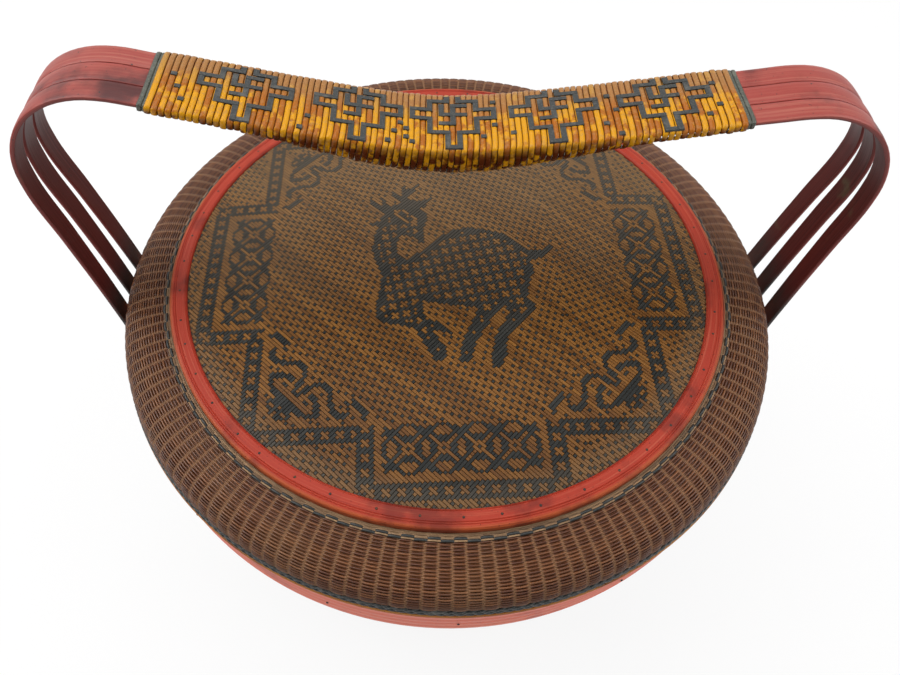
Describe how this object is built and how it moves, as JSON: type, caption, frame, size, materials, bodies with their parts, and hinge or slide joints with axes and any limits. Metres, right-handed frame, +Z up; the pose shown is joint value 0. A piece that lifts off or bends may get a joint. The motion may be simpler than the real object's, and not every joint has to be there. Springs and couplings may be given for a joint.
{
  "type": "stacking wedding basket",
  "caption": "Round tiered bamboo and rattan basket: domed lid with a woven panel, upper tray and base tray, carried by a bent strap handle with a padded grip.",
  "frame": {"origin": "on the basket's axis, on the surface that it stands on", "axes": "+Z up through the tiers and the middle of the grip; X runs across from one foot of the handle to the other; the picture is taken from the -Y side"},
  "size_m": [0.4098, 0.3944, 0.3727],
  "materials": {
    "red_lacquer": "worn red lacquer on bamboo, satin",
    "rattan_weave": "dark oiled rattan weave, satin",
    "woven_panel": "fine split bamboo twill, two browns, dusty satin",
    "dark_braid": "black and grey plaited cane, matt",
    "bright_cane": "single orange cane, satin",
    "plain_bamboo": "bare split bamboo, matt",
    "iron_pin": "dark iron nails, worn",
    "grip_cane": "varnished golden cane wound close, with a black key fret",
    "grip_pad": "coarse fibre padding",
    "binding_cloth": "dark cord binding, matt"
  },
  "bodies": {
    "base": {"base_wall": "rattan_weave", "base_rim": "red_lacquer", "base_collar": "plain_bamboo", "base_upper_braid": "dark_braid", "base_foot_hoop": "red_lacquer", "base_lower_braid": "dark_braid", "base_lining_hoop": "plain_bamboo", "base_floor": "plain_bamboo", "base_batten_1": "plain_bamboo", "base_batten_2": "plain_bamboo", "base_batten_3": "plain_bamboo", "strap_front": "red_lacquer", "strap_middle": "red_lacquer", "strap_back": "red_lacquer", "grip_wrap": "grip_cane", "grip_padding": "grip_pad", "grip_binding_left": "binding_cloth", "grip_binding_right": "binding_cloth", "nail_left_front_rim": "iron_pin", "nail_left_front_foot": "iron_pin", "nail_left_middle_rim": "iron_pin", "nail_left_middle_foot": "iron_pin", "nail_left_back_rim": "iron_pin", "nail_left_back_foot": "iron_pin", "nail_right_front_rim": "iron_pin", "nail_right_front_foot": "iron_pin", "nail_right_middle_rim": "iron_pin", "nail_right_middle_foot": "iron_pin", "nail_right_back_rim": "iron_pin", "nail_right_back_foot": "iron_pin"},
    "upper_tray": {"tray_wall": "rattan_weave", "tray_rim": "red_lacquer", "tray_collar": "plain_bamboo", "tray_upper_braid": "dark_braid", "tray_foot_hoop": "red_lacquer", "tray_lower_braid": "dark_braid", "tray_lining_hoop": "plain_bamboo", "tray_floor": "plain_bamboo", "tray_batten_1": "plain_bamboo", "tray_batten_2": "plain_bamboo", "tray_batten_3": "plain_bamboo"},
    "lid": {"lid_panel": "woven_panel", "lid_hoop": "red_lacquer", "lid_panel_frame": "plain_bamboo", "lid_shoulder": "rattan_weave", "lid_twining": "dark_braid", "lid_rim": "red_lacquer", "lid_cane_ring": "bright_cane", "lid_braid": "dark_braid", "lid_lining_hoop": "plain_bamboo"}
  },
  "joints": [
    {"name": "tray_lift", "type": "slide", "parent": "base", "child": "upper_tray", "axis": [0, 0, 1], "range_m": [0, 0.03]},
    {"name": "lid_lift", "type": "slide", "parent": "upper_tray", "child": "lid", "axis": [0, 0, 1], "range_m": [0, 0.03]}
  ]
}
